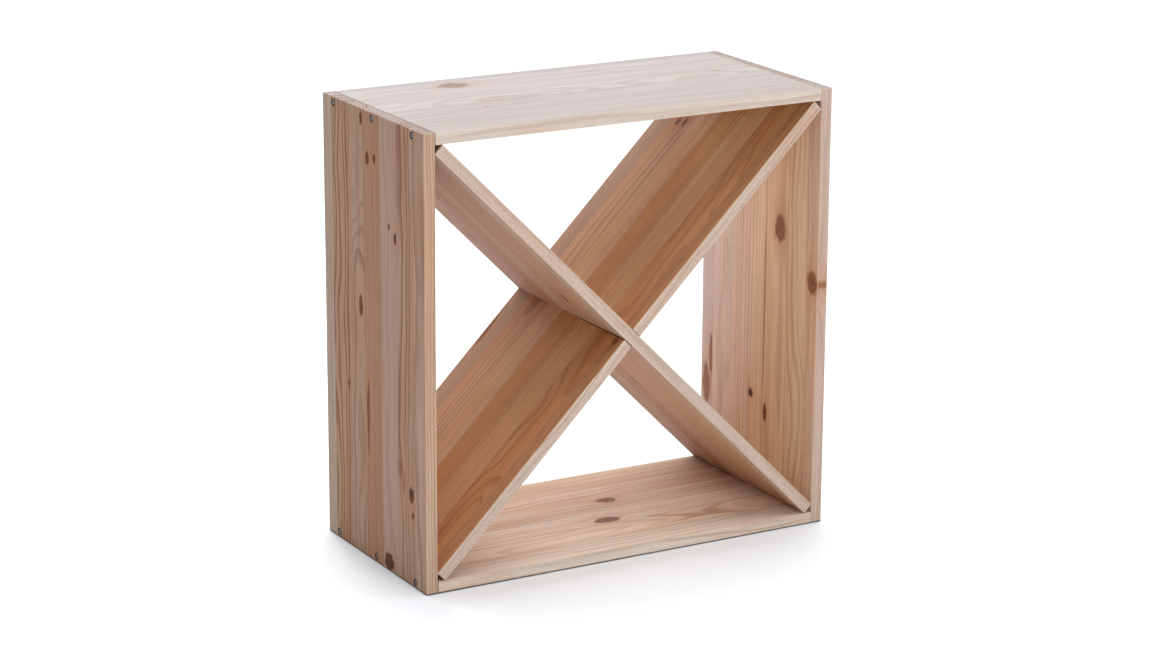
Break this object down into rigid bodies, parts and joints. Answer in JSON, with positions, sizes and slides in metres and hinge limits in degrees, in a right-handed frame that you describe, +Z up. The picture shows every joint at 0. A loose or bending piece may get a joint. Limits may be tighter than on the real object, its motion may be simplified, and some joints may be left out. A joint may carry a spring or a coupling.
{
  "type": "wine rack",
  "caption": "Square open pine frame with crossed diagonal boards joined by a halving joint, dividing it into triangular compartments for lying bottles.",
  "frame": {"origin": "centre of the rack's footprint, on the surface it stands on", "axes": "+X to the right and +Y to the back as seen from the front, +Z up"},
  "size_m": [0.52, 0.25, 0.52],
  "materials": {
    "pine_sapwood": "bare, planed and sanded pine, pale",
    "pine_heartwood": "bare, planed and sanded pine, reddish heartwood",
    "zinc_plated_steel": "bright zinc plate"
  },
  "bodies": {
    "frame": {"left_side_stave_1": "pine_sapwood", "left_side_stave_2": "pine_sapwood", "left_side_stave_3": "pine_sapwood", "left_side_stave_4": "pine_heartwood", "left_side_stave_5": "pine_sapwood", "left_side_stave_6": "pine_heartwood", "left_side_stave_7": "pine_sapwood", "right_side_stave_1": "pine_sapwood", "right_side_stave_2": "pine_sapwood", "right_side_stave_3": "pine_heartwood", "right_side_stave_4": "pine_sapwood", "right_side_stave_5": "pine_sapwood", "right_side_stave_6": "pine_sapwood", "right_side_stave_7": "pine_heartwood", "top_stave_1": "pine_sapwood", "top_stave_2": "pine_sapwood", "top_stave_3": "pine_sapwood", "top_stave_4": "pine_sapwood", "top_stave_5": "pine_sapwood", "top_stave_6": "pine_sapwood", "top_stave_7": "pine_sapwood", "bottom_stave_1": "pine_heartwood", "bottom_stave_2": "pine_sapwood", "bottom_stave_3": "pine_sapwood", "bottom_stave_4": "pine_sapwood", "bottom_stave_5": "pine_sapwood", "bottom_stave_6": "pine_sapwood", "bottom_stave_7": "pine_sapwood", "screws_top_left": "zinc_plated_steel", "screws_bottom_left": "zinc_plated_steel", "screws_top_right": "zinc_plated_steel", "screws_bottom_right": "zinc_plated_steel"},
    "rising_board": {"rising_stave_1_low": "pine_heartwood", "rising_stave_1_high": "pine_heartwood", "rising_stave_2_low": "pine_heartwood", "rising_stave_2_high": "pine_heartwood", "rising_stave_3_low": "pine_sapwood", "rising_stave_3_high": "pine_sapwood", "rising_stave_4": "pine_heartwood", "rising_stave_5": "pine_sapwood", "rising_stave_6": "pine_heartwood", "rising_stave_7": "pine_sapwood"},
    "falling_board": {"falling_stave_1": "pine_sapwood", "falling_stave_2": "pine_sapwood", "falling_stave_3": "pine_heartwood", "falling_stave_4": "pine_sapwood", "falling_stave_5_high": "pine_sapwood", "falling_stave_5_low": "pine_sapwood", "falling_stave_6_high": "pine_sapwood", "falling_stave_6_low": "pine_sapwood", "falling_stave_7_high": "pine_sapwood", "falling_stave_7_low": "pine_sapwood"}
  },
  "joints": [
    {"name": "divider_slide", "type": "slide", "parent": "frame", "child": "rising_board", "axis": [0, -1, 0], "range_m": [0, 0.25]},
    {"name": "halving_slide", "type": "slide", "parent": "rising_board", "child": "falling_board", "axis": [0, -1, 0], "range_m": [0, 0.25]}
  ]
}
